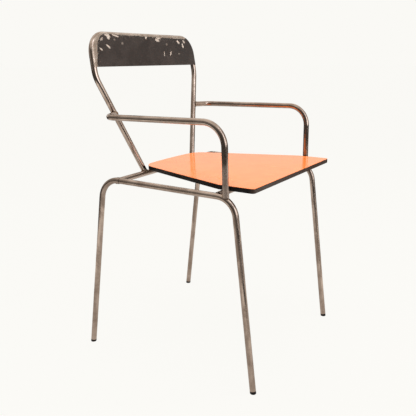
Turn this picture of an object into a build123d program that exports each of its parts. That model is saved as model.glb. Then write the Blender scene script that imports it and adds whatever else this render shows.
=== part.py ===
from build123d import *
import os

# Stacking armchair: a bent steel tube frame, a thin edged board seat and a sheet steel back.
# Millimetres. The origin is on the floor under the middle of the chair, +Z is up,
# the chair faces -Y, and the sitter's right-hand side is at -X.

# Tubing
tubeRadius = 7.0
tubeWall = 1.5
boreRadius = tubeRadius - tubeWall
weldSpread = 1.6  # how far a bead reaches out along the incoming tube

# Legs and side rails: axis points of the left-hand frame
frontFoot = (222.6, -233.6, 0.0)
frontCorner = (216.8, -178.8, 435.7)
rearCorner = (217.5, 175.5, 441.5)
rearFoot = (226.4, 233.6, 0.0)
frontBend = 46.0
rearBend = 51.0
buttPlace = 124.4  # where the rail meets the rear leg tube, along Y
buttGap = 1.6
buttWeldRadius = 6.3

# Feet
capThickness = 6.5
capStem = 18.0
capStemPlay = 0.1
capRound = 0.8

# Arms
armPostFoot = (219.6, -161.0, 436.5)
armFrontCorner = (222.4, -158.0, 591.3)
armRearCorner = (222.4, 148.2, 587.8)
armFrontBend = 50.5
armRearBend = 26.0
armHeightAtBack = 588.8

# Back frame
rearCrossY = 134.0
rearCrossZ = 439.0
backFoot = (106.6, 135.0, 439.0)
backShoulder = (209.2, 190.2, 676.7)
backTop = (206.6, 205.6, 771.1)
backShoulderBend = 70.0
backTopBend = 47.0

# Front cross tube
frontCrossY = -142.5
frontCrossZ = 440.5

# Back panel
sheet = 0.9
panelBottomZ = 697.4
wrapAngle = 30.0  # how far the sheet's edge is rolled round the front of the tube

# Seat
seatTop = 460.5
seatThickness = 10.6
laminateThickness = 0.8
backingThickness = 0.8
edgingThickness = 1.6
seatFrontY = -226.9
seatHalf = 207.5
seatKinkY = -142.9
seatRearHalf = 113.0
seatRearY = 131.1
seatRearBow = 6.5
seatSideBow = 0.4
frontCornerRound = 8.0
kinkRound = 17.0
rearCornerRound = 47.0
seatTurn = -1.26  # degrees about Z: the board is screwed down slightly askew

# Seat fixings: a tab on the cross tube at each of these half widths, with a screw up through it
frontTabHalf = 120.0
rearTabHalf = 62.0
tabWidth = 20.0
tabThickness = 2.0
tabReach = 26.0  # from the tube's axis towards the middle of the seat
tabOverhang = 5.0  # past the tube's axis on the other side
tabRound = 4.0
tabWeldWidth = 14.0
screwSetback = 18.0  # from the tube's axis
screwRadius = 2.5
screwHeadRadius = 4.75
screwHeadHeight = 3.0
screwHeadRound = 1.2
screwHole = 2.75
screwReach = 6.5  # into the board
socketRadius = 1.7
socketDepth = 1.6
washerRadius = 5.5
washerThickness = 1.0
insertRadius = 4.0
insertHeight = 7.0
fitPlay = 0.05

seatBottom = seatTop - seatThickness
coreBottom = seatBottom + backingThickness
coreTop = seatTop - laminateThickness
tabBottom = seatBottom - tabThickness
tabPlaces = [  # x, the cross tube's y and z, and the way the tab points along Y
    (side * half, y, z, way)
    for half, y, z, way in ((frontTabHalf, frontCrossY, frontCrossZ, 1), (rearTabHalf, rearCrossY, rearCrossZ, -1))
    for side in (-1, 1)
]
screwPlaces = [(x, y + way * screwSetback) for x, y, z, way in tabPlaces]


def onSide(point, side):
    """The same point on the left (+1) or the right (-1) of the chair."""
    return Vector(side * point[0], point[1], point[2])


def along(start, end, distance):
    """The point this far from start towards end."""
    return start + (end - start).normalized() * distance


def rod(path, radius):
    """A solid bar of this radius along a path."""
    return sweep(Plane(origin=path @ 0, z_dir=path % 0) * Circle(radius), path=path)


def tube(path):
    """A hollow tube along a path."""
    ring = Circle(tubeRadius) - Circle(boreRadius)
    return sweep(Plane(origin=path @ 0, z_dir=path % 0) * ring, path=path)


def bead(incoming, target):
    """The weld round the end of an incoming tube, where it stands on a target tube."""
    collar = rod(incoming, tubeRadius + weldSpread) & rod(target, tubeRadius + weldSpread)
    return collar - rod(incoming, tubeRadius) - rod(target, tubeRadius)


def save(shape, node):
    """Writes one node."""
    solids = shape if isinstance(shape, list) else shape.solids()
    export_step(Compound(children=list(solids)) if len(solids) > 1 else solids[0], f"parts/{node}.step")


def frontLegPath(side):
    foot, corner, rear = onSide(frontFoot, side), onSide(frontCorner, side), onSide(rearCorner, side)
    share = (buttPlace - buttGap / 2 - corner.Y) / (rear.Y - corner.Y)
    butt = corner + (rear - corner) * share
    return FilletPolyline(along(foot, corner, capThickness), corner, butt, radius=frontBend)


def rearLegPath(side):
    foot, corner, front = onSide(rearFoot, side), onSide(rearCorner, side), onSide(frontCorner, side)
    share = (buttPlace + buttGap / 2 - front.Y) / (corner.Y - front.Y)
    butt = front + (corner - front) * share
    return FilletPolyline(along(foot, corner, capThickness), corner, butt, radius=rearBend)


def armPath(side):
    share = (armHeightAtBack - backFoot[2]) / (backShoulder[2] - backFoot[2])
    foot, shoulder = onSide(backFoot, side), onSide(backShoulder, side)
    return FilletPolyline(
        onSide(armPostFoot, side),
        onSide(armFrontCorner, side),
        onSide(armRearCorner, side),
        foot + (shoulder - foot) * share,
        radius=[armFrontBend, armRearBend],
    )


def backPath():
    return FilletPolyline(
        onSide(backFoot, 1),
        onSide(backShoulder, 1),
        onSide(backTop, 1),
        onSide(backTop, -1),
        onSide(backShoulder, -1),
        onSide(backFoot, -1),
        radius=[backShoulderBend, backTopBend, backTopBend, backShoulderBend],
    )


def crossPath(y, z):
    return Line((-frontCorner[0], y, z), (frontCorner[0], y, z))


def legTubes():
    """Front leg and rail in one tube, rear leg and its bend in another, on each side."""
    for side, name in ((-1, "right"), (1, "left")):
        save(tube(frontLegPath(side)), f"{name}_leg_rail")
        save(tube(rearLegPath(side)), f"{name}_rear_leg")


def buttWelds():
    """The narrow ring of filler in the gap between each rail and its rear leg tube."""
    rings = []
    for side in (-1, 1):
        start, end = frontLegPath(side) @ 1, rearLegPath(side) @ 1
        gap = Line(start, end)
        ring = Circle(buttWeldRadius) - Circle(boreRadius)
        rings.append(sweep(Plane(origin=start, z_dir=gap % 0) * ring, path=gap).solid())
    save(rings, "rail_butt_welds")


def footCaps():
    """A plug in each leg: a stem in the bore, and a foot cut flat on the floor."""
    for side, hand in ((-1, "right"), (1, "left")):
        for foot, corner, end in ((frontFoot, frontCorner, "front"), (rearFoot, rearCorner, "rear")):
            base, top = onSide(foot, side), onSide(corner, side)
            seat = along(base, top, capThickness)
            pad = rod(Line(along(base, top, -3.0), seat), tubeRadius)
            pad &= Pos(base.X, base.Y, 10) * Box(40, 40, 20)
            rim = pad.edges().sort_by(Axis.Z)[0]
            pad = fillet(rim, capRound)
            stem = rod(Line(seat, along(base, top, capThickness + capStem)), boreRadius - capStemPlay)
            save(pad + stem, f"{hand}_{end}_foot_cap")


def crossTubes():
    """The two tubes under the seat, coped to the rails."""
    for name, y, z in (("front", frontCrossY, frontCrossZ), ("rear", rearCrossY, rearCrossZ)):
        cross = tube(crossPath(y, z))
        for side in (-1, 1):
            cross -= rod(frontLegPath(side), tubeRadius)
            cross -= rod(rearLegPath(side), tubeRadius)
        save(cross, f"{name}_cross_tube")


def crossWelds():
    beads = []
    for side in (-1, 1):
        for y, z, target in (
            (frontCrossY, frontCrossZ, frontLegPath(side)),
            (rearCrossY, rearCrossZ, rearLegPath(side)),
        ):
            end = Line((side * (frontCorner[0] - 30), y, z), (side * frontCorner[0], y, z))
            beads += bead(end, target).solids()
    save(beads, "cross_tube_welds")


def armTubes():
    """One tube a side: post on the rail, front bend, arm rest and the turn in to the back frame."""
    postBeads, backBeads = [], []
    for side, name in ((-1, "right"), (1, "left")):
        path = armPath(side)
        arm = tube(path) - rod(frontLegPath(side), tubeRadius) - rod(backPath(), tubeRadius)
        save(max(arm.solids(), key=lambda s: s.volume), f"{name}_arm_tube")
        post = Line(path @ 0, along(path @ 0, onSide(armFrontCorner, side), 25))
        postBeads += bead(post, frontLegPath(side)).solids()
        turnIn = Line(along(path @ 1, onSide(armRearCorner, side), 25), path @ 1)
        backBeads += bead(turnIn, backPath()).solids()
    save(postBeads, "arm_post_welds")
    save(backBeads, "arm_back_welds")


def backFrame():
    """The hoop that carries the panel; its feet are coped to the rear cross tube."""
    cross = crossPath(rearCrossY, rearCrossZ)
    hoop = tube(backPath()) - rod(cross, tubeRadius)
    save(max(hoop.solids(), key=lambda s: s.volume), "back_frame_tube")
    beads = []
    for side in (-1, 1):
        foot, shoulder = onSide(backFoot, side), onSide(backShoulder, side)
        beads += bead(Line(foot, along(foot, shoulder, 25)), cross).solids()
    save(beads, "back_foot_welds")


def backPanel():
    """Flat sheet on the front of the hoop, its edge rolled round the outside of the tube."""
    lean = (Vector(backTop) - Vector(backShoulder)).normalized()
    share = (panelBottomZ - backShoulder[2]) / (backTop[2] - backShoulder[2])
    start = Vector(backShoulder) + (Vector(backTop) - Vector(backShoulder)) * share
    edge = FilletPolyline(
        start,
        onSide(backTop, 1),
        onSide(backTop, -1),
        onSide(tuple(start), -1),
        radius=backTopBend,
    )
    front = Vector(1, 0, 0).cross(lean).normalized() * -1
    if front.Y > 0:
        front = -front
    flat = make_face(edge + Line(edge @ 1, edge @ 0))
    flat = extrude(Pos(*(front * tubeRadius)) * flat, amount=sheet, dir=front)
    section = Plane(origin=start, x_dir=front, z_dir=edge % 0)
    outer = tubeRadius + sheet
    pie = make_face(
        Line((0, 0), (3 * outer, 0))
        + CenterArc((0, 0), 3 * outer, 0, wrapAngle)
        + Line(Vector(3 * outer, 0).rotate(Axis.Z, wrapAngle), (0, 0))
    )
    lip = (Circle(outer) - Circle(tubeRadius)) & pie
    wrap = sweep(section * lip, path=edge)
    save(flat + wrap, "back_panel")


def seatOutline(inset):
    """The seat's plan at height zero: a rectangle trimmed by two long side arcs and the bowed rear edge."""
    rearLeft, kinkLeft = Vector(seatRearHalf, seatRearY), Vector(seatHalf, seatKinkY)
    chord = kinkLeft - rearLeft
    outward = Vector(-chord.Y, chord.X).normalized()
    sideArc = ThreePointArc(rearLeft, (rearLeft + kinkLeft) * 0.5 + outward * seatSideBow, kinkLeft)
    rearArc = ThreePointArc((-seatRearHalf, seatRearY), (0, seatRearY + seatRearBow), rearLeft)
    frontY = seatFrontY + inset
    face = Pos(0, frontY + seatHalf) * Rectangle(2 * (seatHalf - inset), 2 * seatHalf)
    face &= Pos(0, rearArc.arc_center.Y) * Circle(rearArc.radius - inset)
    for side in (-1, 1):
        face &= Pos(side * sideArc.arc_center.X, sideArc.arc_center.Y) * Circle(sideArc.radius - inset)
    for x, y, radius in (
        (seatHalf, seatFrontY, frontCornerRound),
        (seatHalf, seatKinkY, kinkRound),
        (seatRearHalf, seatRearY, rearCornerRound),
    ):
        for side in (-1, 1):
            face = fillet(face.vertices().sort_by_distance(Vector(side * x, y))[0], radius - inset)
    return Rot(0, 0, seatTurn) * face


def seatParts():
    """Plywood core with a backing sheet and an edging round both, and the laminate over all of it."""
    inner = seatOutline(edgingThickness)
    edging = extrude(Pos(0, 0, seatBottom) * (seatOutline(0) - inner), amount=coreTop - seatBottom)
    save(edging, "seat_edge_trim")
    core = extrude(Pos(0, 0, coreBottom) * inner, amount=coreTop - coreBottom)
    backing = extrude(Pos(0, 0, seatBottom) * inner, amount=backingThickness)
    for x, y in screwPlaces:
        core -= Pos(x, y, coreBottom + insertHeight / 2) * Cylinder(insertRadius + fitPlay, insertHeight)
        backing -= Pos(x, y, coreBottom) * Cylinder(screwHole, 4 * backingThickness)
    save(core, "seat_board")
    save(backing, "seat_backing_sheet")
    save(extrude(Pos(0, 0, coreTop) * seatOutline(0), amount=laminateThickness), "seat_laminate")


def seatTabs():
    """Flat strips welded on top of the cross tubes, for the board to rest on and be screwed to."""
    tabs, welds = [], []
    for x, y, z, way in tabPlaces:
        cross = rod(crossPath(y, z), tubeRadius)
        middle = y + way * (tabReach - tabOverhang) / 2
        strip = extrude(Pos(x, middle, tabBottom) * Rectangle(tabWidth, tabReach + tabOverhang), amount=tabThickness)
        free = strip.edges().filter_by(Axis.Z).sort_by(Axis.Y)
        strip = fillet(free[2:] if way > 0 else free[:2], tabRound)
        hole = Pos(x, y + way * screwSetback, tabBottom) * Cylinder(screwHole, 4 * tabThickness)
        tabs.append((strip - cross - hole).solid())
        depth = 2 * tabOverhang
        wedge = Pos(x, y, tabBottom - depth / 4) * Box(tabWeldWidth, depth, depth / 2)
        welds += (wedge - cross).solids().sort_by(Axis.Z)[-1 if z + tubeRadius < tabBottom else -2 :]
    save(tabs, "seat_tabs")
    save(welds, "seat_tab_welds")


def seatFixings():
    """Screws up through the tabs, on washers, into inserts in the board."""
    screws, washers, inserts = [], [], []
    for x, y in screwPlaces:
        washer = Cylinder(washerRadius, washerThickness) - Cylinder(screwHole, washerThickness)
        washers.append((Pos(x, y, tabBottom - washerThickness / 2) * washer).solid())
        headTop, tip = tabBottom - washerThickness, coreBottom + screwReach
        head = Pos(x, y, headTop - screwHeadHeight / 2) * Cylinder(screwHeadRadius, screwHeadHeight)
        head = fillet(head.edges().sort_by(Axis.Z)[0], screwHeadRound)
        socket = extrude(Pos(x, y, headTop - screwHeadHeight) * RegularPolygon(socketRadius, 6), amount=socketDepth)
        shank = Pos(x, y, (headTop + tip) / 2) * Cylinder(screwRadius, tip - headTop)
        screws.append((head + shank - socket).solid())
        insert = Cylinder(insertRadius, insertHeight) - Cylinder(screwRadius + fitPlay, insertHeight)
        inserts.append((Pos(x, y, coreBottom + insertHeight / 2) * insert).solid())
    save(screws, "seat_screws")
    save(washers, "seat_screw_washers")
    save(inserts, "seat_inserts")


os.makedirs("parts", exist_ok=True)
legTubes()
buttWelds()
footCaps()
crossTubes()
crossWelds()
armTubes()
backFrame()
backPanel()
seatParts()
seatTabs()
seatFixings()
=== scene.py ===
import math

import bpy
from mathutils import Matrix, Vector


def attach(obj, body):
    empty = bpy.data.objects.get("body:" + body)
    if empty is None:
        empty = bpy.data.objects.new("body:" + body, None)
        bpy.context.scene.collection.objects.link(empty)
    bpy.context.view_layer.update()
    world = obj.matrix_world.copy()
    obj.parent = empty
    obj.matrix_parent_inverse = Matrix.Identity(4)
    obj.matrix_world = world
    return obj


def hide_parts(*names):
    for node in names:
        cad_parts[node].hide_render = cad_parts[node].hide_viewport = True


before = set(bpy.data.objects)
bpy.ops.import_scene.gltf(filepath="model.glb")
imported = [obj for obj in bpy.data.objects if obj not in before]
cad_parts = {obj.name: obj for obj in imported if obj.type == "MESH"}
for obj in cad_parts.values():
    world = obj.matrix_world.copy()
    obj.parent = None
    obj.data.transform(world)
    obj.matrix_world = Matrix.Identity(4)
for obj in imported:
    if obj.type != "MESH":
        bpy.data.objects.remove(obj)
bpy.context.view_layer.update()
print("frame loaded:", len(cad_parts), "parts")


def clearSelection():
    if bpy.context.mode != "OBJECT":
        bpy.ops.object.mode_set(mode="OBJECT")
    bpy.ops.object.select_all(action="DESELECT")


def activate(piece):
    clearSelection()
    piece.select_set(True)
    bpy.context.view_layer.objects.active = piece


skin = {
    "mergeGap": 0.000005,
    "flatAngle": math.radians(0.4),  # facets that meet at less than this become one face
    "roundAngle": math.radians(40),
    "roundSegments": 3,
    "smoothAngle": math.radians(50),
    "faceWeight": 100,
}


def freshCopy(node, name):
    # the CAD mesh again as one welded skin, free to be shaped further
    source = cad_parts[node]
    piece = bpy.data.objects.new(name, source.data.copy())
    bpy.context.scene.collection.objects.link(piece)
    piece.data.materials.clear()
    activate(piece)
    bpy.ops.mesh.customdata_custom_splitnormals_clear()
    bpy.ops.object.mode_set(mode="EDIT")
    bpy.ops.mesh.select_all(action="SELECT")
    bpy.ops.mesh.remove_doubles(threshold=skin["mergeGap"])
    bpy.ops.mesh.dissolve_limited(angle_limit=skin["flatAngle"])
    bpy.ops.object.mode_set(mode="OBJECT")
    return piece


def roundEdges(piece, width):
    activate(piece)
    bevel = piece.modifiers.new("roundEdges", "BEVEL")
    bevel.width = width
    bevel.segments = skin["roundSegments"]
    bevel.limit_method = "ANGLE"
    bevel.angle_limit = skin["roundAngle"]
    bpy.ops.object.modifier_apply(modifier=bevel.name)
    bpy.ops.object.shade_smooth_by_angle(angle=skin["smoothAngle"])
    weighted = piece.modifiers.new("flatFaces", "WEIGHTED_NORMAL")
    weighted.weight = skin["faceWeight"]
    weighted.keep_sharp = True
    bpy.ops.object.modifier_apply(modifier=weighted.name)


def finishPiece(piece, material, slot, *nodes):
    piece.data.materials.clear()
    piece.data.materials.append(material)
    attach(piece, "root")
    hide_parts(*nodes)


def dress(material, *nodes):
    for node in nodes:
        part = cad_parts[node]
        part.data.materials.clear()
        part.data.materials.append(material)


def feed(tree, node, inputs):
    # each input is either a socket to link or a plain value
    for name, value in inputs.items():
        if isinstance(value, bpy.types.NodeSocket):
            tree.links.new(value, node.inputs[name])
        else:
            node.inputs[name].default_value = value


def addNode(tree, kind, inputs=None, **settings):
    made = tree.nodes.new("ShaderNode" + kind)
    for name, value in settings.items():
        setattr(made, name, value)
    feed(tree, made, inputs or {})
    return made


def calculate(tree, operation, a, b=0.0, clamp=False):
    made = addNode(tree, "Math", {0: a, 1: b}, operation=operation, use_clamp=clamp)
    return made.outputs[0]


def add(tree, a, b):
    return calculate(tree, "ADD", a, b)


def subtract(tree, a, b):
    return calculate(tree, "SUBTRACT", a, b)


def multiply(tree, a, b):
    return calculate(tree, "MULTIPLY", a, b)


def greatest(tree, a, b):
    return calculate(tree, "MAXIMUM", a, b)


def addShare(tree, base, extra, share, clamp=False):
    return calculate(tree, "ADD", base, multiply(tree, extra, share), clamp)


def remap(tree, value, low, high, toLow=0.0, toHigh=1.0):
    # smooth step between low and high
    made = addNode(
        tree,
        "MapRange",
        {"Value": value, "From Min": low, "From Max": high, "To Min": toLow, "To Max": toHigh},
        interpolation_type="SMOOTHSTEP",
    )
    return made.outputs["Result"]


def spread(tree, mask, values):
    return remap(tree, mask, 0.0, 1.0, *values)


def noise(tree, vector, scale, detail=2.0, roughness=0.5, distortion=0.0):
    made = addNode(
        tree,
        "TexNoise",
        {
            "Vector": vector,
            "Scale": scale,
            "Detail": detail,
            "Roughness": roughness,
            "Distortion": distortion,
        },
    )
    return made.outputs["Fac"]


def waver(tree, vector, settings):
    # a noise that goes either side of nothing
    return subtract(tree, noise(tree, vector, *settings), 0.5)


def mixValues(tree, factor, a, b):
    return addNode(tree, "Mix", {0: factor, 2: a, 3: b}, data_type="FLOAT").outputs[0]


def rgb(color):
    return (*color, 1.0)


def blend(tree, factor, a, b):
    # a and b are colour sockets or plain colours
    a, b = (rgb(color) if isinstance(color, tuple) else color for color in (a, b))
    return addNode(tree, "Mix", {0: factor, 6: a, 7: b}, data_type="RGBA").outputs[2]


def vectorMath(tree, operation, a, b=(0.0, 0.0, 0.0)):
    return addNode(tree, "VectorMath", {0: a, 1: b}, operation=operation).outputs


def stretch(tree, vector, scale):
    return vectorMath(tree, "MULTIPLY", vector, scale)["Vector"]


def distanceTo(tree, vector, point):
    return vectorMath(tree, "DISTANCE", vector, point)["Value"]


def facing(tree, direction, side):
    return vectorMath(tree, "DOT_PRODUCT", direction, side)["Value"]


def lengthOf(tree, vector):
    return vectorMath(tree, "LENGTH", vector)["Value"]


def split(tree, vector):
    return addNode(tree, "SeparateXYZ", {0: vector}).outputs


def join(tree, x, y):
    return addNode(tree, "CombineXYZ", {0: x, 1: y}).outputs[0]


def newGroup(name, inputs, outputs):
    group = bpy.data.node_groups.new(name, "ShaderNodeTree")
    for label, kind, value in inputs:
        socket = group.interface.new_socket(
            label, in_out="INPUT", socket_type="NodeSocket" + kind
        )
        if value is not None:
            socket.default_value = value
    for label in outputs:
        group.interface.new_socket(label, in_out="OUTPUT", socket_type="NodeSocketFloat")
    given = group.nodes.new("NodeGroupInput").outputs
    return group, given, group.nodes.new("NodeGroupOutput")


def place(tree, group, inputs):
    made = tree.nodes.new("ShaderNodeGroup")
    made.node_tree = group
    feed(tree, made, inputs)
    return made.outputs


def newMaterial(name):
    material = bpy.data.materials.new(name)
    material.use_nodes = True
    tree = material.node_tree
    shader = tree.nodes["Principled BSDF"]
    coords = tree.nodes.new("ShaderNodeTexCoord").outputs["Object"]
    return material, tree, shader, coords


def bump(tree, shader, height, strength, distance):
    made = addNode(
        tree, "Bump", {"Height": height, "Strength": strength, "Distance": distance}
    )
    tree.links.new(made.outputs[0], shader.inputs["Normal"])


# In every settings dictionary, a noise is its scale, detail, roughness and distortion, an edge
# is the value where a mask starts and the value where it is full, and a relief is the
# strength and the depth of a bump.

aging = {
    "alongX": (0.04, 1.0, 1.0),  # draws a noise out along one axis
    "alongY": (1.0, 0.04, 1.0),
    "alongZ": (1.0, 1.0, 0.04),
    "nothingLevel": 10.0,  # a height above every tube
    "levelFade": 0.02,
    "lineNoise": (420.0, 3.0, 0.6),
    "lineEdge": (0.3, 0.7),
    "streakNoise": (90.0, 2.0, 0.5),
    "streakShare": 0.4,
    "cloudScale": 22.0,
    "cloudNoise": (5.0, 0.62, 0.4),  # without its scale
    "cloudShare": 0.6,
    "tarnishEdge": (0.39, 0.61),
    "pitNoise": (620.0, 2.0, 0.5),
    "pitAmount": 0.3,
    "pitLimit": 0.80,
    "pitGain": 0.2,
    "pitFade": 0.05,
}


def makeAgedMetal():
    # tarnish clouds, drawing lines along the tube, and pits; above the level height a tube
    # runs level, and its lines follow the level stretch
    group, given, result = newGroup(
        "agedMetal",
        [
            ("Vector", "Vector", None),
            ("Level Height", "Float", aging["nothingLevel"]),
            ("Level Stretch", "Vector", aging["alongY"]),
            ("Cloud Scale", "Float", aging["cloudScale"]),
            ("Pit Amount", "Float", aging["pitAmount"]),
        ],
        ["Tarnish", "Lines", "Pits", "Height"],
    )
    point = given["Vector"]
    levelFoot = subtract(group, given["Level Height"], aging["levelFade"])
    level = remap(group, split(group, point)[2], levelFoot, given["Level Height"])
    upright = stretch(group, point, aging["alongZ"])
    flat = stretch(group, point, given["Level Stretch"])
    lines, streaks = (
        mixValues(group, level, noise(group, upright, *kind), noise(group, flat, *kind))
        for kind in (aging["lineNoise"], aging["streakNoise"])
    )
    clouds = noise(group, point, given["Cloud Scale"], *aging["cloudNoise"])
    mixed = multiply(group, clouds, aging["cloudShare"])
    mixed = addShare(group, mixed, streaks, aging["streakShare"])
    gain = multiply(group, given["Pit Amount"], aging["pitGain"])
    limit = subtract(group, aging["pitLimit"], gain)
    full = add(group, limit, aging["pitFade"])
    specks = remap(group, noise(group, point, *aging["pitNoise"]), limit, full)
    pits = multiply(group, specks, clouds)
    feed(
        group,
        result,
        {
            "Tarnish": remap(group, mixed, *aging["tarnishEdge"]),
            "Lines": remap(group, lines, *aging["lineEdge"]),
            "Pits": pits,
            "Height": subtract(group, lines, pits),
        },
    )
    return group


wear = {
    "smudgeScale": 14.0,
    "smudgeNoise": (4.0, 0.6, 0.8),  # without its scale
    "smudgeEdge": (0.35, 0.7),
    "scratchScale": 90.0,
    "scratchNoise": (4.0, 0.7),  # without its scale
    "scratchEdge": (0.655, 0.69),
    "scratchTurns": (0.35, 1.9, 2.7),  # in radians
    "scratchStretch": (1.0, 0.03, 1.0),
    "dustNoise": (900.0, 2.0, 0.5),
    "dustEdge": (0.62, 0.75),
}


def makeHandling():
    # smudges, hairline scratches and dust that dull a gloss
    group, given, result = newGroup(
        "handling",
        [
            ("Vector", "Vector", None),
            ("Smudge Scale", "Float", wear["smudgeScale"]),
            ("Scratch Scale", "Float", wear["scratchScale"]),
        ],
        ["Smudges", "Scratches", "Dust"],
    )
    point = given["Vector"]
    smudges = noise(group, point, given["Smudge Scale"], *wear["smudgeNoise"])
    scratches = None
    for turn in wear["scratchTurns"]:
        turned = addNode(
            group,
            "Mapping",
            {
                "Vector": point,
                "Rotation": (0.0, 0.0, turn),
                "Scale": wear["scratchStretch"],
            },
        ).outputs[0]
        fine = noise(group, turned, given["Scratch Scale"], *wear["scratchNoise"])
        thin = remap(group, fine, *wear["scratchEdge"])
        scratches = thin if scratches is None else greatest(group, scratches, thin)
    dust = noise(group, point, *wear["dustNoise"])
    feed(
        group,
        result,
        {
            "Smudges": remap(group, smudges, *wear["smudgeEdge"]),
            "Scratches": scratches,
            "Dust": remap(group, dust, *wear["dustEdge"]),
        },
    )
    return group


agedMetal = makeAgedMetal()
handling = makeHandling()

plating = {
    "bright": (0.60, 0.475, 0.385),
    "tarnished": (0.31, 0.225, 0.17),
    "pit": (0.10, 0.07, 0.05),
    "pitAmount": 0.15,
    "pitRoughness": 0.3,
    "lineShade": 0.10,
    "lineRoughness": 0.03,
    "dullReach": 0.09,  # how far from a joint its heat shows
    "dullWaver": 0.02,
    "dullFade": 0.04,
    "dullMetallic": (1.0, 0.72),
    "dullRoughness": 0.12,
    "relief": (0.25, 0.000015),
    "kinds": {
        "legPlate": {
            "roughness": (0.15, 0.30),
            "tarnishing": 0.75,
            "levelHeight": 0.425,
            "levelStretch": aging["alongY"],
            "heatedAt": None,
            "nodes": ("right_leg_rail", "left_leg_rail", "right_rear_leg", "left_rear_leg"),
        },
        "armPlate": {
            "roughness": (0.11, 0.24),
            "tarnishing": 0.8,
            "levelHeight": 0.575,
            "levelStretch": aging["alongY"],
            "heatedAt": (-0.2196, -0.161, 0.4365),  # where the right-hand post stands
            "nodes": ("right_arm_tube", "left_arm_tube"),
        },
        "hoopPlate": {
            "roughness": (0.12, 0.26),
            "tarnishing": 0.8,
            "levelHeight": 0.755,
            "levelStretch": aging["alongX"],
            "heatedAt": None,
            "nodes": ("back_frame_tube",),
        },
        "crossPlate": {
            "roughness": (0.24, 0.38),
            "tarnishing": 0.6,
            "levelHeight": 0.3,
            "levelStretch": aging["alongX"],
            "heatedAt": (-0.2196, -0.1425, 0.4405),  # the right-hand end of the front cross tube
            "nodes": ("rear_cross_tube", "front_cross_tube", "seat_tabs"),
        },
    },
}


def makePlating(name, kind):
    # old nickel plate, browned and dulled more in some places than others, most of all by
    # the heat of a joint
    material, tree, shader, coords = newMaterial(name)
    aged = place(
        tree,
        agedMetal,
        {
            "Vector": coords,
            "Level Height": kind["levelHeight"],
            "Level Stretch": kind["levelStretch"],
            "Pit Amount": plating["pitAmount"],
        },
    )
    shade = multiply(tree, aged["Tarnish"], kind["tarnishing"])
    shade = addShare(tree, shade, aged["Lines"], plating["lineShade"], clamp=True)
    color = blend(tree, shade, plating["bright"], plating["tarnished"])
    color = blend(tree, aged["Pits"], color, plating["pit"])
    rough = spread(tree, aged["Tarnish"], kind["roughness"])
    rough = addShare(tree, rough, aged["Lines"], plating["lineRoughness"])
    rough = addShare(tree, rough, aged["Pits"], plating["pitRoughness"], clamp=True)
    metallic = 1.0
    if kind["heatedAt"]:
        away = distanceTo(tree, coords, kind["heatedAt"])
        away = addShare(tree, away, aged["Tarnish"], plating["dullWaver"])
        fullDull = plating["dullReach"] - plating["dullFade"]
        dull = remap(tree, away, plating["dullReach"], fullDull)
        rough = addShare(tree, rough, dull, plating["dullRoughness"], clamp=True)
        metallic = spread(tree, dull, plating["dullMetallic"])
    feed(tree, shader, {"Base Color": color, "Roughness": rough, "Metallic": metallic})
    bump(tree, shader, aged["Height"], *plating["relief"])
    return material


for name, kind in plating["kinds"].items():
    dress(makePlating(name, kind), *kind["nodes"])
print("tubes plated")

brazing = {
    "filler": (0.40, 0.29, 0.19),
    "scorched": (0.13, 0.09, 0.065),
    "cloudScale": 60.0,
    "pitAmount": 0.6,
    "rippleNoise": (240.0, 2.0, 0.4, 0.6),
    "rippleEdge": (0.2, 0.8),
    "roughness": (0.3, 0.55),
    "relief": (0.5, 0.0006),
}


def makeBrazing():
    material, tree, shader, coords = newMaterial("brazing")
    aged = place(
        tree,
        agedMetal,
        {
            "Vector": coords,
            "Cloud Scale": brazing["cloudScale"],
            "Pit Amount": brazing["pitAmount"],
        },
    )
    ripples = noise(tree, coords, *brazing["rippleNoise"])
    color = blend(tree, aged["Tarnish"], brazing["filler"], brazing["scorched"])
    rough = remap(tree, ripples, *brazing["rippleEdge"], *brazing["roughness"])
    feed(tree, shader, {"Base Color": color, "Roughness": rough, "Metallic": 1.0})
    bump(tree, shader, ripples, *brazing["relief"])
    return material


dress(
    makeBrazing(),
    "cross_tube_welds",
    "arm_post_welds",
    "arm_back_welds",
    "back_foot_welds",
    "seat_tab_welds",
)

seam = {
    "dirt": (0.05, 0.035, 0.026),
    "metal": (0.14, 0.10, 0.075),
    "metallic": 0.6,
    "grimeNoise": (300.0, 3.0, 0.6),
    "grimeEdge": (0.3, 0.7),
    "roughness": (0.5, 0.8),
    "relief": (0.4, 0.0003),
}


def makeSeam():
    # the filled seam between rail and leg, dark with old dirt
    material, tree, shader, coords = newMaterial("darkSeam")
    grimeAndShade = noise(tree, coords, *seam["grimeNoise"])
    color = blend(tree, remap(tree, grimeAndShade, *seam["grimeEdge"]), seam["dirt"], seam["metal"])
    rough = remap(tree, grimeAndShade, *seam["grimeEdge"], *seam["roughness"])
    feed(
        tree,
        shader,
        {"Base Color": color, "Roughness": rough, "Metallic": seam["metallic"]},
    )
    bump(tree, shader, grimeAndShade, *seam["relief"])
    return material


dress(makeSeam(), "rail_butt_welds")
print("joints brazed")


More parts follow.
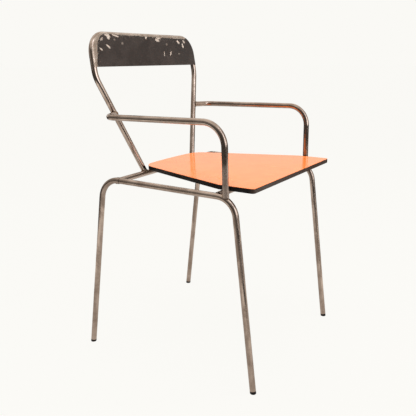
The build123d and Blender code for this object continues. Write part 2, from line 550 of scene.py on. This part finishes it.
panel = {
    # the hoop's centre line, from where the hoop starts to stand straight
    "foot": (0.0, 0.1902, 0.6767),
    "lean": math.radians(9.27),
    "halfWidth": 0.2092,
    "taper": 0.0272,
    "top": 0.09565,
    "corner": 0.047,
    "backFace": (-0.0076, -0.0073),  # in front of the back of the sheet, and on it
    # where the paint stops short of that line: along the top, at either side, and between
    "topShy": -0.0016,
    "topSlope": 0.0108,  # more bare metal along the top towards the left-hand end
    "rightShy": -0.005,
    "rightHand": (-0.165, -0.192),
    "leftShy": 0.012,
    "leftHand": (0.168, 0.19),
    "sideSlope": 0.26,  # the straight right-hand edge of the paint leans inwards by this much
    "sideFoot": 0.2111,
    "paintEdge": (-0.00025, 0.00025),
    "ragNoise": (160.0, 4.0, 0.65),
    "edgeRag": 0.007,
    "sideRag": 0.0025,
    "fineNoise": (520.0, 3.0, 0.65),
    "edgeFine": 0.0015,
    "paint": (0.023, 0.0165, 0.013),
    "paintWorn": (0.042, 0.031, 0.025),
    "paintScratched": (0.14, 0.115, 0.095),
    "paintRoughness": (0.36, 0.5),
    "smudgeScale": 16.0,
    "smudgeShare": 0.6,
    "scratchScale": 130.0,
    "scratchShare": 0.25,
    # painted shade: the colour of the dark line along the broken edge of the paint, also used to
    # darken the foot of the panel
    "grimeAndShade": (0.006, 0.0045, 0.0035),
    "darkLineShare": 0.75,
    "shadeByEdge": (0.0026, 0.0008),
    "darkByFoot": (0.0022, 0.0008),
    "bare": (0.60, 0.50, 0.41),
    "bareDark": (0.34, 0.26, 0.195),
    "bareRoughness": (0.24, 0.42),
    "bareMetallic": 0.65,
    "bareCloudScale": 40.0,
    "bareLevelHeight": 0.5,
    "flakeNoise": (420.0, 3.0, 0.6),
    "flakeEdge": (0.60, 0.66),
    "flakeReach": (0.016, 0.0),  # from the worn edge
    "flakeShare": (0.05, 0.4),
    "peelNoise": (500.0, 2.0, 0.5),
    "peelShare": 0.12,
    "relief": (0.8, 0.00018),
    "chip": (0.70, 0.60, 0.50),
    "chipDull": 0.3,  # how much less metallic than worn metal
    "chipRag": 1.5,
    "chipFine": 1.3,
    "chipEdge": (1.0, 0.86),
    "chips": [  # across, up, half length, half width in mm, tilt in degrees, how bare
        (-151.0, 90.5, 7.0, 6.5, -25.0, 1.0),
        (-157.0, 95.0, 9.0, 4.0, -5.0, 0.8),
        (-126.0, 93.0, 13.0, 1.8, -12.0, 1.0),
        (-156.0, 67.6, 7.5, 2.8, -32.0, 1.0),
        (-182.5, 61.0, 6.0, 2.1, -30.0, 0.9),
        (-176.0, 84.0, 6.0, 3.0, 35.0, 0.6),
        (-129.6, 83.8, 4.5, 2.6, 0.0, 0.25),
        (-103.5, 75.5, 4.2, 3.0, 20.0, 0.3),
        (41.0, 86.5, 9.0, 4.8, -10.0, 0.9),
        (47.0, 92.0, 11.0, 3.0, -4.0, 0.8),
        (-6.0, 91.5, 5.0, 2.5, 60.0, 1.0),
        (137.5, 83.0, 8.5, 3.3, -32.0, 1.0),
        (166.0, 85.0, 7.0, 3.0, -40.0, 0.8),
        (158.6, 73.5, 7.0, 3.4, -78.0, 1.0),
        (64.5, 51.0, 6.8, 1.5, 85.0, 0.9),
        (94.5, 52.5, 7.2, 2.2, 62.0, 1.0),
        (82.0, 76.0, 5.0, 3.0, 0.0, 0.25),
        (134.0, 51.7, 4.5, 2.6, 10.0, 0.25),
    ],
}


def insideHoop(tree, across, up):
    # distance from the hoop's centre line, less than nothing inside it
    narrowing = multiply(tree, up, panel["taper"])
    halfWidth = subtract(tree, panel["halfWidth"] - panel["corner"], narrowing)
    sideways = subtract(tree, calculate(tree, "ABSOLUTE", across), halfWidth)
    upwards = subtract(tree, up, panel["top"] - panel["corner"])
    corner = join(tree, greatest(tree, sideways, 0.0), greatest(tree, upwards, 0.0))
    inner = calculate(tree, "MINIMUM", greatest(tree, sideways, upwards), 0.0)
    return subtract(tree, add(tree, lengthOf(tree, corner), inner), panel["corner"])


def wornEdge(tree, across, up, ragged, fine):
    # distance from the broken edge of the paint, more than nothing on the paint
    slope = multiply(tree, across, panel["topSlope"])
    shy = subtract(tree, panel["topShy"], slope)
    rightHand = remap(tree, across, *panel["rightHand"])
    shy = mixValues(tree, rightHand, shy, panel["rightShy"])
    leftHand = remap(tree, across, *panel["leftHand"])
    shy = mixValues(tree, leftHand, shy, panel["leftShy"])
    edge = subtract(tree, shy, insideHoop(tree, across, up))
    edge = addShare(tree, edge, ragged, panel["edgeRag"])
    leaning = subtract(tree, across, multiply(tree, up, panel["sideSlope"]))
    side = add(tree, leaning, panel["sideFoot"])
    side = addShare(tree, side, ragged, panel["sideRag"])
    edge = calculate(tree, "MINIMUM", edge, side)
    return addShare(tree, edge, fine, panel["edgeFine"])


def unchipped(tree, across, up, ragged, fine):
    # one where no chip has gone through the paint
    whole = None
    for x, z, long, wide, tilt, bareness in panel["chips"]:
        turned = addNode(
            tree,
            "Mapping",
            {
                "Vector": join(tree, across, up),
                "Location": (x / 1000, z / 1000, 0.0),
                "Rotation": (0.0, 0.0, math.radians(tilt)),
                "Scale": (long / 1000, wide / 1000, 1.0),
            },
            vector_type="TEXTURE",
        ).outputs[0]
        far = addShare(tree, lengthOf(tree, turned), ragged, panel["chipRag"])
        far = addShare(tree, far, fine, panel["chipFine"])
        kept = subtract(tree, 1.0, remap(tree, far, *panel["chipEdge"], 0.0, bareness))
        whole = kept if whole is None else multiply(tree, whole, kept)
    return whole


def makePanelPaint():
    # charcoal paint over tan metal: bare along the top and beside the right-hand tube, and
    # chipped elsewhere
    material, tree, shader, coords = newMaterial("chippedPaint")
    flat = addNode(
        tree,
        "Mapping",
        {
            "Vector": coords,
            "Location": panel["foot"],
            "Rotation": (-panel["lean"], 0.0, 0.0),
        },
        vector_type="TEXTURE",
    ).outputs[0]
    across, through, up = split(tree, flat)
    ragged = waver(tree, flat, panel["ragNoise"])
    fine = waver(tree, flat, panel["fineNoise"])
    worn = wornEdge(tree, across, up, ragged, fine)
    painted = remap(tree, worn, *panel["paintEdge"])
    whole = unchipped(tree, across, up, ragged, fine)
    # small flakes, most of them near the worn edges
    flakes = remap(tree, noise(tree, flat, *panel["flakeNoise"]), *panel["flakeEdge"])
    near = remap(tree, worn, *panel["flakeReach"], *panel["flakeShare"])
    whole = multiply(tree, whole, subtract(tree, 1.0, multiply(tree, flakes, near)))
    # the back of the sheet keeps its paint
    whole = greatest(tree, whole, remap(tree, through, *panel["backFace"]))
    chipped = multiply(tree, painted, subtract(tree, 1.0, whole))
    painted = multiply(tree, painted, whole)

    touch = place(
        tree,
        handling,
        {
            "Vector": flat,
            "Smudge Scale": panel["smudgeScale"],
            "Scratch Scale": panel["scratchScale"],
        },
    )
    smudged = multiply(tree, touch["Smudges"], panel["smudgeShare"])
    scratched = multiply(tree, touch["Scratches"], panel["scratchShare"])
    paintColor = blend(tree, smudged, panel["paint"], panel["paintWorn"])
    paintColor = blend(tree, scratched, paintColor, panel["paintScratched"])
    # painted shade: a dark line along the broken edge of the paint; the foot of the panel is also
    # darkened
    grimeAndShade = greatest(
        tree,
        remap(tree, worn, *panel["shadeByEdge"]),
        remap(tree, up, *panel["darkByFoot"]),
    )
    grimeAndShade = multiply(tree, grimeAndShade, panel["darkLineShare"])
    paintColor = blend(tree, grimeAndShade, paintColor, panel["grimeAndShade"])
    paintRough = spread(tree, touch["Smudges"], panel["paintRoughness"])

    aged = place(
        tree,
        agedMetal,
        {
            "Vector": coords,
            "Cloud Scale": panel["bareCloudScale"],
            "Level Height": panel["bareLevelHeight"],
            "Level Stretch": aging["alongX"],
        },
    )
    metalColor = blend(tree, aged["Tarnish"], panel["bare"], panel["bareDark"])
    metalColor = blend(tree, chipped, metalColor, panel["chip"])
    metalRough = spread(tree, aged["Tarnish"], panel["bareRoughness"])
    metallic = multiply(tree, subtract(tree, 1.0, painted), panel["bareMetallic"])
    lessMetallic = multiply(tree, chipped, panel["chipDull"])

    feed(
        tree,
        shader,
        {
            "Base Color": blend(tree, painted, metalColor, paintColor),
            "Roughness": mixValues(tree, painted, metalRough, paintRough),
            "Metallic": calculate(tree, "SUBTRACT", metallic, lessMetallic, clamp=True),
        },
    )
    peel = noise(tree, flat, *panel["peelNoise"])
    bump(
        tree, shader, addShare(tree, painted, peel, panel["peelShare"]), *panel["relief"]
    )
    return material


dress(makePanelPaint(), "back_panel")
print("panel painted")


laminate = {
    "round": 0.00035,
    "orange": (0.90, 0.243, 0.057),
    "orangeDeep": (0.86, 0.220, 0.048),
    "scratched": (0.95, 0.52, 0.30),
    "mottleNoise": (30.0, 3.0, 0.55),
    "mottleEdge": (0.3, 0.7),
    "smudgeScale": 9.0,
    "scratchScale": 60.0,
    "scratchShare": 0.10,
    "scratchRoughness": 0.15,
    "roughness": (0.10, 0.19),
    "refraction": 1.45,
    "rippleNoise": (260.0, 2.0, 0.5),
    "relief": (0.12, 0.00006),
}


def makeLaminate():
    material, tree, shader, coords = newMaterial("orangeLaminate")
    touch = place(
        tree,
        handling,
        {
            "Vector": coords,
            "Smudge Scale": laminate["smudgeScale"],
            "Scratch Scale": laminate["scratchScale"],
        },
    )
    mottle = noise(tree, coords, *laminate["mottleNoise"])
    mottle = remap(tree, mottle, *laminate["mottleEdge"])
    color = blend(tree, mottle, laminate["orange"], laminate["orangeDeep"])
    scratched = multiply(tree, touch["Scratches"], laminate["scratchShare"])
    color = blend(tree, scratched, color, laminate["scratched"])
    rough = spread(tree, touch["Smudges"], laminate["roughness"])
    rough = addShare(tree, rough, touch["Scratches"], laminate["scratchRoughness"])
    feed(
        tree,
        shader,
        {"Base Color": color, "Roughness": rough, "IOR": laminate["refraction"]},
    )
    bump(tree, shader, noise(tree, coords, *laminate["rippleNoise"]), *laminate["relief"])
    return material


edging = {
    "round": 0.00075,
    "black": (0.005, 0.0028, 0.002),
    "scratched": (0.045, 0.038, 0.032),
    "dusty": (0.09, 0.08, 0.07),
    "windowLitFront": (0.046, 0.028, 0.020),  # painted light: the front face made a warm brown, as lit by the window
    "litFrontReach": (-0.208, -0.222),
    "smudgeScale": 30.0,
    "scratchScale": 160.0,
    "scratchShare": 0.25,
    "dustShare": 0.1,
    "roughness": (0.2, 0.38),
    "gloss": 0.36,
    "grainNoise": (180.0, 2.0, 0.5),
    "relief": (0.2, 0.0002),
}


def makeEdging():
    material, tree, shader, coords = newMaterial("blackEdging")
    touch = place(
        tree,
        handling,
        {
            "Vector": coords,
            "Smudge Scale": edging["smudgeScale"],
            "Scratch Scale": edging["scratchScale"],
        },
    )
    scratched = multiply(tree, touch["Scratches"], edging["scratchShare"])
    color = blend(tree, scratched, edging["black"], edging["scratched"])
    dusty = multiply(tree, touch["Dust"], edging["dustShare"])
    color = blend(tree, dusty, color, edging["dusty"])
    # painted light: the front face is made a warm brown where the window light falls on it, while
    # the side stays black
    windowLitFront = remap(tree, split(tree, coords)[1], *edging["litFrontReach"])
    color = blend(tree, windowLitFront, color, edging["windowLitFront"])
    feed(
        tree,
        shader,
        {
            "Base Color": color,
            "Roughness": spread(tree, touch["Smudges"], edging["roughness"]),
            "Specular IOR Level": edging["gloss"],
        },
    )
    bump(tree, shader, noise(tree, coords, *edging["grainNoise"]), *edging["relief"])
    return material


plywood = {
    "light": (0.56, 0.38, 0.22),
    "dark": (0.40, 0.25, 0.13),
    "glue": (0.30, 0.18, 0.09),
    "grainStretch": (1.0, 0.06, 1.0),
    "grainNoise": (260.0, 5.0, 0.6, 0.5),
    "grainEdge": (0.2, 0.8),
    "plyScale": 110.0,
    "plyWaver": 0.6,
    "plyEdge": (0.55, 0.8),
    "roughness": (0.55, 0.75),
    "relief": (0.3, 0.0002),
}


def makePlywood():
    # thin plies seen edge on, with the grain along the seat
    material, tree, shader, coords = newMaterial("birchPly")
    stretched = stretch(tree, coords, plywood["grainStretch"])
    grain = noise(tree, stretched, *plywood["grainNoise"])
    plies = addNode(
        tree,
        "TexWave",
        {"Vector": coords, "Scale": plywood["plyScale"], "Distortion": plywood["plyWaver"]},
        bands_direction="Z",
    ).outputs["Fac"]
    color = blend(tree, grain, plywood["light"], plywood["dark"])
    color = blend(tree, remap(tree, plies, *plywood["plyEdge"]), color, plywood["glue"])
    rough = remap(tree, grain, *plywood["grainEdge"], *plywood["roughness"])
    feed(tree, shader, {"Base Color": color, "Roughness": rough})
    bump(tree, shader, grain, *plywood["relief"])
    return material


backing = {
    "light": (0.20, 0.12, 0.07),
    "dark": (0.13, 0.075, 0.045),
    "scratched": (0.32, 0.23, 0.16),
    "fibreNoise": (340.0, 4.0, 0.7),
    "fibreEdge": (0.3, 0.7),
    "smudgeScale": 12.0,
    "scratchScale": 80.0,
    "scratchShare": 0.4,
    "roughness": (0.45, 0.7),
    "relief": (0.25, 0.0002),
}


def makeBacking():
    # brown balancing sheet on the underside
    material, tree, shader, coords = newMaterial("backingSheet")
    touch = place(
        tree,
        handling,
        {
            "Vector": coords,
            "Smudge Scale": backing["smudgeScale"],
            "Scratch Scale": backing["scratchScale"],
        },
    )
    fibre = noise(tree, coords, *backing["fibreNoise"])
    shade = remap(tree, fibre, *backing["fibreEdge"])
    color = blend(tree, shade, backing["light"], backing["dark"])
    scratched = multiply(tree, touch["Scratches"], backing["scratchShare"])
    color = blend(tree, scratched, color, backing["scratched"])
    rough = spread(tree, touch["Smudges"], backing["roughness"])
    feed(tree, shader, {"Base Color": color, "Roughness": rough})
    bump(tree, shader, fibre, *backing["relief"])
    return material


topSheet = freshCopy("seat_laminate", "seatTopSheet")
roundEdges(topSheet, laminate["round"])
finishPiece(topSheet, makeLaminate(), "laminate", "seat_laminate")
edgeTrim = freshCopy("seat_edge_trim", "seatEdging")
roundEdges(edgeTrim, edging["round"])
finishPiece(edgeTrim, makeEdging(), "edging", "seat_edge_trim")
dress(makePlywood(), "seat_board")
dress(makeBacking(), "seat_backing_sheet")
print("seat made")


feet = {
    "black": (0.0055, 0.0024, 0.0016),
    "scuffed": (0.018, 0.013, 0.010),
    "scuffEdge": (0.0018, 0.0),  # up from the floor
    "scuffWaver": -0.002,
    "scuffShare": 0.7,
    "smudgeScale": 60.0,
    "scratchScale": 260.0,
    "roughness": (0.38, 0.6),
    "gloss": 0.2,
    "grainNoise": (900.0, 2.0, 0.5),
    "relief": (0.3, 0.0001),
}


def makeFootPlastic():
    material, tree, shader, coords = newMaterial("blackFootPlastic")
    touch = place(
        tree,
        handling,
        {
            "Vector": coords,
            "Smudge Scale": feet["smudgeScale"],
            "Scratch Scale": feet["scratchScale"],
        },
    )
    height = split(tree, coords)[2]
    height = addShare(tree, height, touch["Smudges"], feet["scuffWaver"])
    scuff = remap(tree, height, *feet["scuffEdge"])
    scuff = multiply(tree, scuff, feet["scuffShare"])
    feed(
        tree,
        shader,
        {
            "Base Color": blend(tree, scuff, feet["black"], feet["scuffed"]),
            "Roughness": spread(tree, touch["Smudges"], feet["roughness"]),
            "Specular IOR Level": feet["gloss"],
        },
    )
    bump(tree, shader, noise(tree, coords, *feet["grainNoise"]), *feet["relief"])
    return material


zinc = {
    "bright": (0.60, 0.58, 0.52),
    "dull": (0.36, 0.33, 0.27),
    "dullNoise": (200.0, 3.0, 0.6),
    "spangleScale": 900.0,
    "spangleEdge": (0.0, 0.6),
    "roughness": (0.28, 0.48),
    "relief": (0.2, 0.0001),
}


def makeZinc():
    material, tree, shader, coords = newMaterial("zincFixing")
    cells = addNode(tree, "TexVoronoi", {"Vector": coords, "Scale": zinc["spangleScale"]})
    spangle = cells.outputs["Distance"]
    dull = noise(tree, coords, *zinc["dullNoise"])
    color = blend(tree, dull, zinc["bright"], zinc["dull"])
    rough = remap(tree, spangle, *zinc["spangleEdge"], *zinc["roughness"])
    feed(tree, shader, {"Base Color": color, "Roughness": rough, "Metallic": 1.0})
    bump(tree, shader, spangle, *zinc["relief"])
    return material


dress(
    makeFootPlastic(),
    "right_front_foot_cap",
    "left_front_foot_cap",
    "right_rear_foot_cap",
    "left_rear_foot_cap",
)
dress(makeZinc(), "seat_screws", "seat_screw_washers", "seat_inserts")
print("feet and fixings done")


backdrop = (0.956, 0.947, 0.913)

room = {
    "dimmest": 0.10,
    "tint": (1.0, 0.975, 0.95),
    # the side each light is on, where it starts and is full, and its strength
    "wallSide": (0.853, 0.522, 0.0),
    "wallEdge": (0.25, 0.75),
    "wall": 0.62,
    "windowSide": (0.026, -1.0, 0.0),
    "windowEdge": (0.66, 0.92),
    "window": 1.0,
    "leftSide": (-0.522, 0.853, 0.0),
    "leftEdge": (0.6, 0.95),
    "left": 0.20,
    "ceilingEdge": (0.45, 0.8),
    "ceiling": 0.75,
    "stripSide": (-0.148, -0.989, 0.0),  # a narrow bright light that leaves a streak on the bends
    "stripEdge": (0.3, 0.6),
    "stripAcross": (-0.989, 0.148, 0.0),
    "stripWidth": (0.14, 0.09),
    "strip": 3.0,
    "stripTint": (0.90, 0.96, 1.10),
    "stripTinted": (0.0, 1.5),
}

ground = {
    "radius": 60.0,
    "corners": 96,
    "light": (0.96, 0.96, 0.94),
    "dark": (0.92, 0.92, 0.90),
    "grainNoise": (40.0, 3.0, 0.5),
    "matt": 0.02,  # how much of a shadow the floor takes
    "roomShare": 0.7,
    "paperCenter": (-0.2, 0.15, 0.0),  # the lit paper under and behind the chair
    "paperReach": (0.95, 1.55),
    "paperFront": (-0.70, -0.95),  # its front edge, from full light to none
    "paperLight": (0.55, 0.86),  # less right under the chair, and full out of its way
    "paperMiddle": (0.4, 0.95),
    "poolCenter": (0.95, -1.95, 0.0),  # window light on the floor
    "poolReach": (0.85, 1.4),
    "poolLight": 0.8,
}


def toEyeOrRoom(tree, forRoom, forEye):
    # one shader for what is seen straight, and another for what lights the chair
    path = tree.nodes.new("ShaderNodeLightPath").outputs
    shared = addNode(
        tree,
        "MixShader",
        {0: path["Is Camera Ray"], 1: forRoom.outputs[0], 2: forEye.outputs[0]},
    )
    return shared.outputs[0]


def makeFloor():
    bpy.ops.mesh.primitive_circle_add(
        vertices=ground["corners"], radius=ground["radius"], fill_type="NGON", location=(0, 0, 0)
    )
    floor = bpy.context.active_object
    floor.name = "studioFloor"
    material, tree, shader, coords = newMaterial("paleFloor")
    tree.nodes.remove(shader)
    grain = noise(tree, coords, *ground["grainNoise"])
    matt = addNode(
        tree, "BsdfDiffuse", {"Color": blend(tree, grain, ground["dark"], ground["light"])}
    )
    glow = addNode(tree, "Emission", {"Color": rgb(backdrop), "Strength": 1.0})
    seen = addNode(
        tree, "MixShader", {0: ground["matt"], 1: glow.outputs[0], 2: matt.outputs[0]}
    )
    reach = distanceTo(tree, coords, ground["paperCenter"])
    paper = remap(tree, reach, *ground["paperMiddle"], *ground["paperLight"])
    paper = multiply(tree, paper, remap(tree, reach, *ground["paperReach"], 1.0, 0.0))
    front = remap(tree, split(tree, coords)[1], *ground["paperFront"], 1.0, 0.0)
    paper = multiply(tree, paper, front)
    away = distanceTo(tree, coords, ground["poolCenter"])
    pool = remap(tree, away, *ground["poolReach"], ground["poolLight"], 0.0)
    dimmest = room["dimmest"] * ground["roomShare"]
    lit = add(tree, greatest(tree, paper, pool), dimmest)
    bounce = addNode(tree, "Emission", {"Color": rgb(room["tint"]), "Strength": lit})
    surface = tree.nodes["Material Output"].inputs["Surface"]
    tree.links.new(toEyeOrRoom(tree, bounce, seen), surface)
    floor.data.materials.append(material)


def makeRoom():
    # a pale backdrop for the eye; for the reflections a dim room with a white wall behind the
    # chair, a window on the right, a little light from the left and a bright ceiling
    world = bpy.data.worlds.new("studioRoom")
    bpy.context.scene.world = world
    world.use_nodes = True
    tree = world.node_tree
    tree.nodes.clear()
    direction = tree.nodes.new("ShaderNodeTexCoord").outputs["Generated"]
    strength = room["dimmest"]
    for light in ("wall", "window", "left"):
        toward = facing(tree, direction, room[light + "Side"])
        gain = remap(tree, toward, *room[light + "Edge"], 0.0, room[light])
        strength = add(tree, strength, gain)
    up = split(tree, direction)[2]
    overhead = remap(tree, up, *room["ceilingEdge"], 0.0, room["ceiling"])
    strength = add(tree, strength, overhead)
    off = calculate(tree, "ABSOLUTE", facing(tree, direction, room["stripAcross"]))
    toward = facing(tree, direction, room["stripSide"])
    strip = multiply(
        tree,
        remap(tree, off, *room["stripWidth"]),
        remap(tree, toward, *room["stripEdge"], 0.0, room["strip"]),
    )
    strength = add(tree, strength, strip)
    cool = remap(tree, strip, *room["stripTinted"])
    tint = blend(tree, cool, room["tint"], room["stripTint"])
    around = addNode(tree, "Background", {"Color": tint, "Strength": strength})
    behind = addNode(tree, "Background", {"Color": rgb(backdrop), "Strength": 1.0})
    out = tree.nodes.new("ShaderNodeOutputWorld")
    tree.links.new(toEyeOrRoom(tree, around, behind), out.inputs["Surface"])


softboxes = {
    "color": (1.0, 0.99, 0.97),
    "aim": (0.0, 0.0, 0.4),
    "boxes": {
        "overhead": {"spot": (-0.2, -0.3, 2.6), "size": (1.8, 1.8), "power": 42},
        "rightSide": {"spot": (0.9, -2.0, 1.3), "size": (0.7, 1.6), "power": 22},
        "leftSide": {"spot": (-1.9, 1.3, 1.5), "size": (0.7, 1.6), "power": 14},
    },
}


def addSoftbox(name, spot, size, power):
    data = bpy.data.lights.new(name, "AREA")
    data.shape = "RECTANGLE"
    data.size, data.size_y = size
    data.energy = power
    data.color = softboxes["color"]
    lamp = bpy.data.objects.new(name, data)
    bpy.context.scene.collection.objects.link(lamp)
    lamp.visible_glossy = False
    lamp.location = spot
    toward = Vector(softboxes["aim"]) - Vector(spot)
    lamp.rotation_euler = toward.to_track_quat("-Z", "Y").to_euler()


shot = {
    "place": (-1.1819, -0.7062, 0.7163),
    "yaw": math.radians(31.459),  # from +X towards +Y
    "pitch": math.radians(15.254),  # downwards
    "roll": math.radians(0.328),
    "lens": 47.513,
    "sensor": 36.0,
}


def addCamera():
    yaw, pitch, roll = shot["yaw"], shot["pitch"], shot["roll"]
    level = math.cos(pitch)
    ahead = Vector((math.cos(yaw) * level, math.sin(yaw) * level, -math.sin(pitch)))
    right = Vector((math.sin(yaw), -math.cos(yaw), 0.0))
    down = ahead.cross(right)
    tiltedRight = math.cos(roll) * right + math.sin(roll) * down
    tiltedDown = -math.sin(roll) * right + math.cos(roll) * down
    data = bpy.data.cameras.new("portrait")
    data.sensor_fit = "HORIZONTAL"
    data.sensor_width = shot["sensor"]
    data.lens = shot["lens"]
    camera = bpy.data.objects.new("portrait", data)
    bpy.context.scene.collection.objects.link(camera)
    turn = Matrix((tiltedRight, -tiltedDown, -ahead)).transposed()
    camera.matrix_world = Matrix.Translation(shot["place"]) @ turn.to_4x4()
    bpy.context.scene.camera = camera


makeFloor()
makeRoom()
for name, box in softboxes["boxes"].items():
    addSoftbox(name, **box)
addCamera()
bpy.context.scene.view_settings.view_transform = "Standard"
bpy.context.scene.view_settings.look = "None"
print("studio set")
